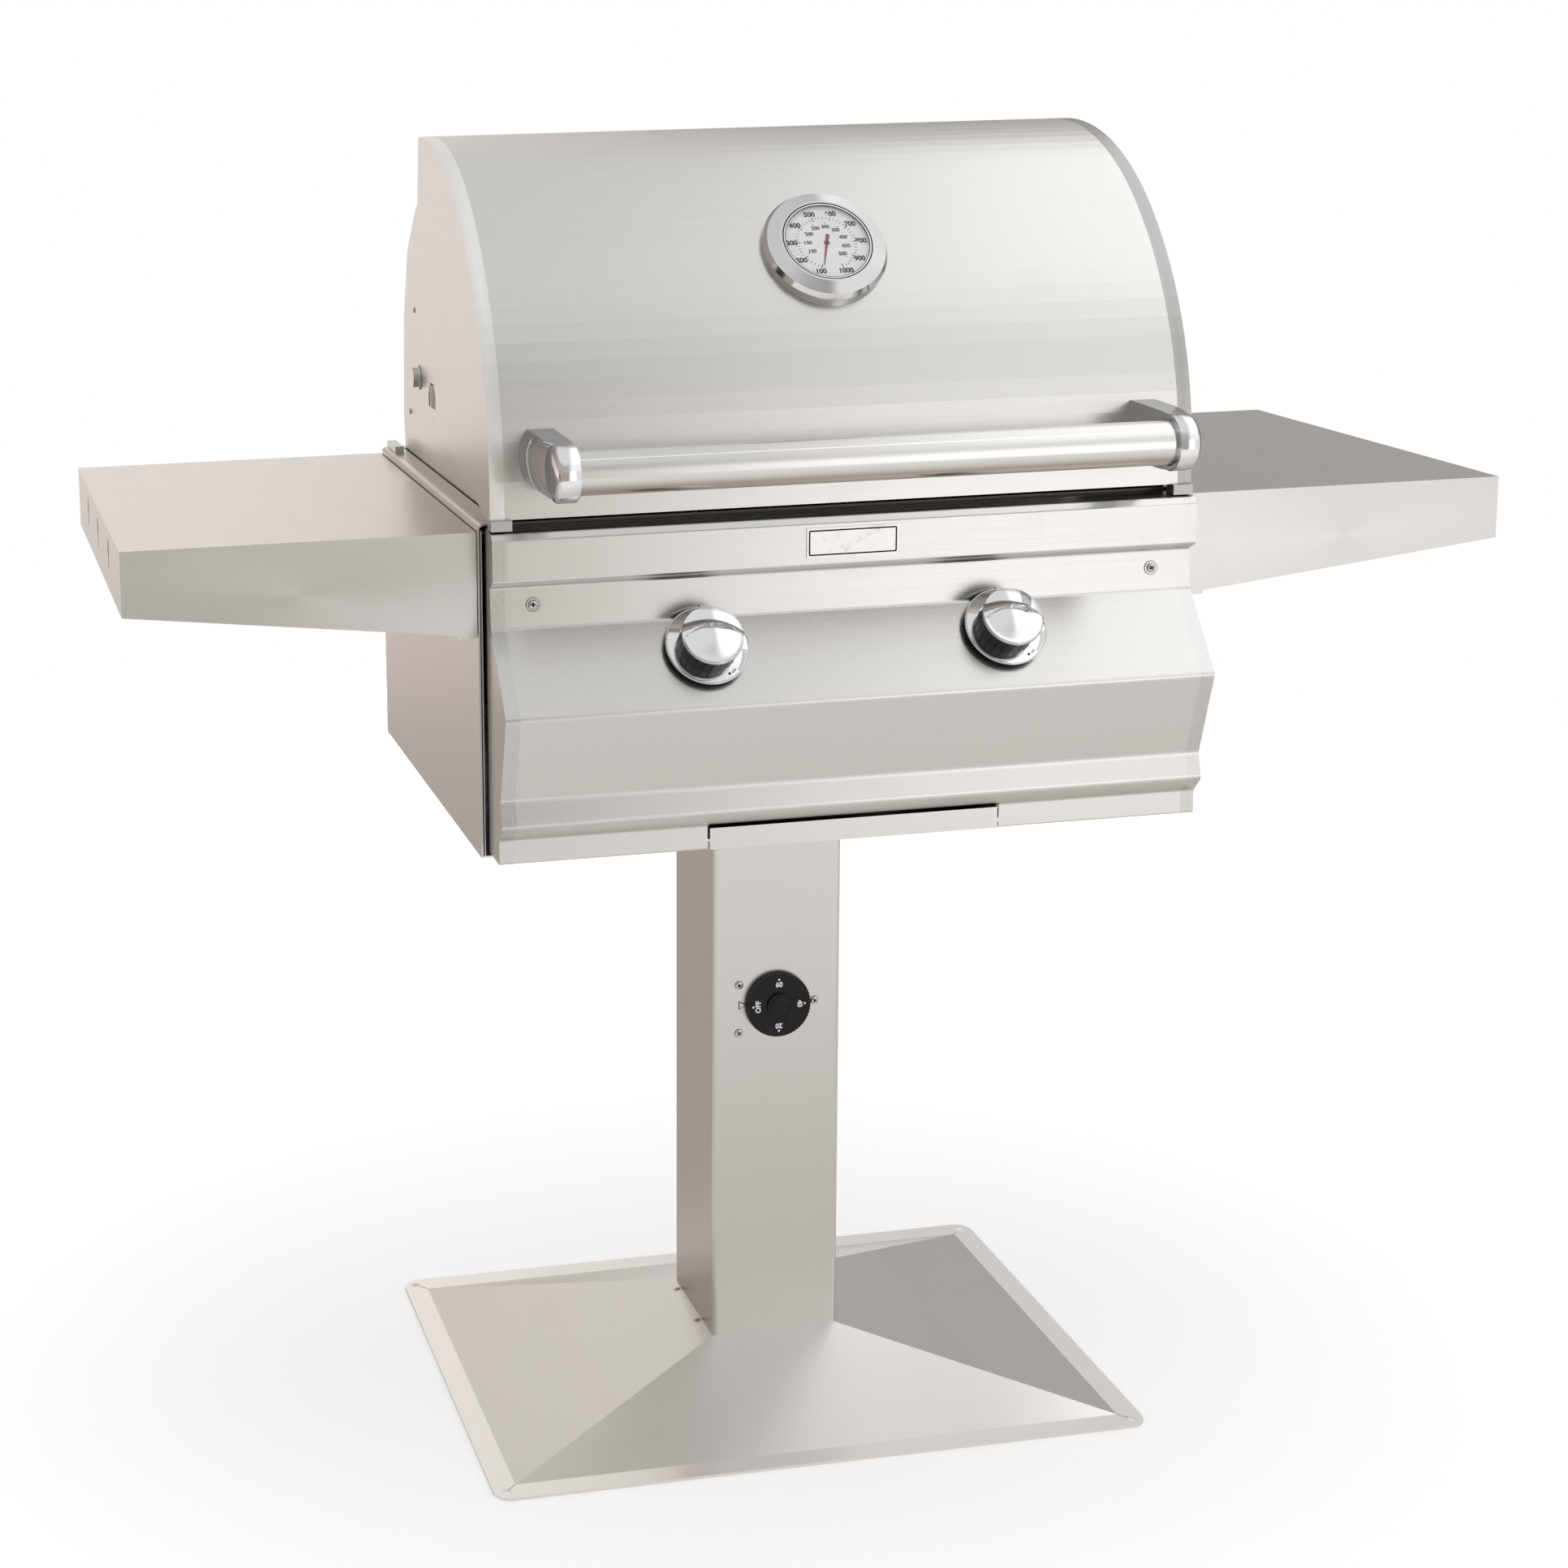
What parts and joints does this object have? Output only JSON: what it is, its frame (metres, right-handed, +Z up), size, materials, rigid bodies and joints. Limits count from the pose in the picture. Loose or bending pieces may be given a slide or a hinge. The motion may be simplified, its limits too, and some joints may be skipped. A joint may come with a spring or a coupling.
{
  "type": "pedestal gas grill",
  "caption": "Gas grill on a square patio post with an anchored base, hinged hood, side shelves, turning knobs and a drip tray.",
  "frame": {"origin": "centre of the four anchor holes, on the ground under the base plate", "axes": "+X to the right as seen from the front, -Y to the front (the knob side), +Z up along the post"},
  "size_m": [1.3756, 0.6202, 1.3405],
  "materials": {
    "brushed_steel_sheet": "brushed, satin",
    "polished_steel": "polished",
    "inner_sheet": "plain mill finish",
    "grid_steel": "plain drawn rod",
    "burner_steel": "plain tube",
    "galvanised_pipe": "galvanised",
    "bright_fasteners": "bright",
    "chrome_castings": "mirror bright",
    "brass_fittings": "plain",
    "black_plastic": "fine matt",
    "white_dial": "flat white",
    "white_ceramic": "glazed",
    "clear_glass": "clear",
    "red_needle": "flat red"
  },
  "bodies": {
    "frame": {"base_plate": "brushed_steel_sheet", "post_tube": "brushed_steel_sheet", "post_top_plate": "brushed_steel_sheet", "post_bolts": "bright_fasteners", "timer_valve": "brass_fittings", "timer_screws": "bright_fasteners", "inlet_pipe": "galvanised_pipe", "supply_pipe": "brass_fittings", "manifold": "galvanised_pipe", "body_floor": "brushed_steel_sheet", "left_body_side": "brushed_steel_sheet", "right_body_side": "brushed_steel_sheet", "inner_side_sheets": "inner_sheet", "rear_panel": "brushed_steel_sheet", "firebox_liner": "inner_sheet", "left_grid": "grid_steel", "right_grid": "grid_steel", "heat_shields": "inner_sheet", "warming_rack": "grid_steel", "burners": "burner_steel", "igniters": "white_ceramic", "control_panel": "brushed_steel_sheet", "left_panel_band": "polished_steel", "right_panel_band": "polished_steel", "panel_screws": "bright_fasteners", "nameplate": "polished_steel", "knob_collars": "black_plastic", "valve_bodies": "brass_fittings", "tray_runners": "inner_sheet", "rear_enclosure": "brushed_steel_sheet", "left_wing": "brushed_steel_sheet", "right_wing": "brushed_steel_sheet", "enclosure_rivets": "bright_fasteners", "hinge_bolts": "bright_fasteners", "rear_nubs": "brushed_steel_sheet", "left_shelf": "brushed_steel_sheet", "right_shelf": "brushed_steel_sheet", "shelf_bolts": "bright_fasteners"},
    "hood": {"hood_shell": "brushed_steel_sheet", "left_hood_side": "brushed_steel_sheet", "right_hood_side": "brushed_steel_sheet", "hood_pads": "inner_sheet", "handle_tube": "brushed_steel_sheet", "left_handle_bracket": "chrome_castings", "right_handle_bracket": "chrome_castings", "handle_bolts": "bright_fasteners", "thermometer_case": "chrome_castings", "thermometer_dial": "white_dial", "thermometer_glass": "clear_glass"},
    "needle": {"thermometer_needle": "red_needle"},
    "left_valve": {"left_valve_stem": "brass_fittings"},
    "right_valve": {"right_valve_stem": "brass_fittings"},
    "left_knob": {"left_knob_skirt": "chrome_castings", "left_knob_grip": "black_plastic", "left_knob_cap": "chrome_castings"},
    "right_knob": {"right_knob_skirt": "chrome_castings", "right_knob_grip": "black_plastic", "right_knob_cap": "chrome_castings"},
    "timer": {"timer_dial": "black_plastic"},
    "tray": {"drip_tray": "brushed_steel_sheet"}
  },
  "joints": [
    {"name": "hood_hinge", "type": "hinge", "parent": "frame", "child": "hood", "pos_m": [0, 0.056, 1.094], "axis": [-1, 0, 0], "range_deg": [0, 80]},
    {"name": "needle_turn", "type": "hinge", "parent": "hood", "child": "needle", "pos_m": [0, -0.19318, 1.23254], "axis": [0, 0.7727, -0.6347], "range_deg": [0, 320]},
    {"name": "left_valve_turn", "type": "hinge", "parent": "frame", "child": "left_valve", "pos_m": [-0.1475, -0.29382, 0.87278], "axis": [0, -0.7855, 0.6189], "range_deg": [0, 165]},
    {"name": "left_knob_press", "type": "slide", "parent": "left_valve", "child": "left_knob", "axis": [0, 0.7855, -0.6189], "range_m": [0, 0.0022], "stiffness_N_per_m": 1500, "springref_m": -0.002},
    {"name": "right_valve_turn", "type": "hinge", "parent": "frame", "child": "right_valve", "pos_m": [0.1475, -0.29382, 0.87278], "axis": [0, -0.7855, 0.6189], "range_deg": [0, 165]},
    {"name": "right_knob_press", "type": "slide", "parent": "right_valve", "child": "right_knob", "axis": [0, 0.7855, -0.6189], "range_m": [0, 0.0022], "stiffness_N_per_m": 1500, "springref_m": -0.002},
    {"name": "timer_turn", "type": "hinge", "parent": "frame", "child": "timer", "pos_m": [0, -0.07, 0.4305], "axis": [0, 1, 0], "range_deg": [0, 270]},
    {"name": "tray_slide", "type": "slide", "parent": "frame", "child": "tray", "axis": [0, -1, 0], "range_m": [0, 0.24]}
  ]
}
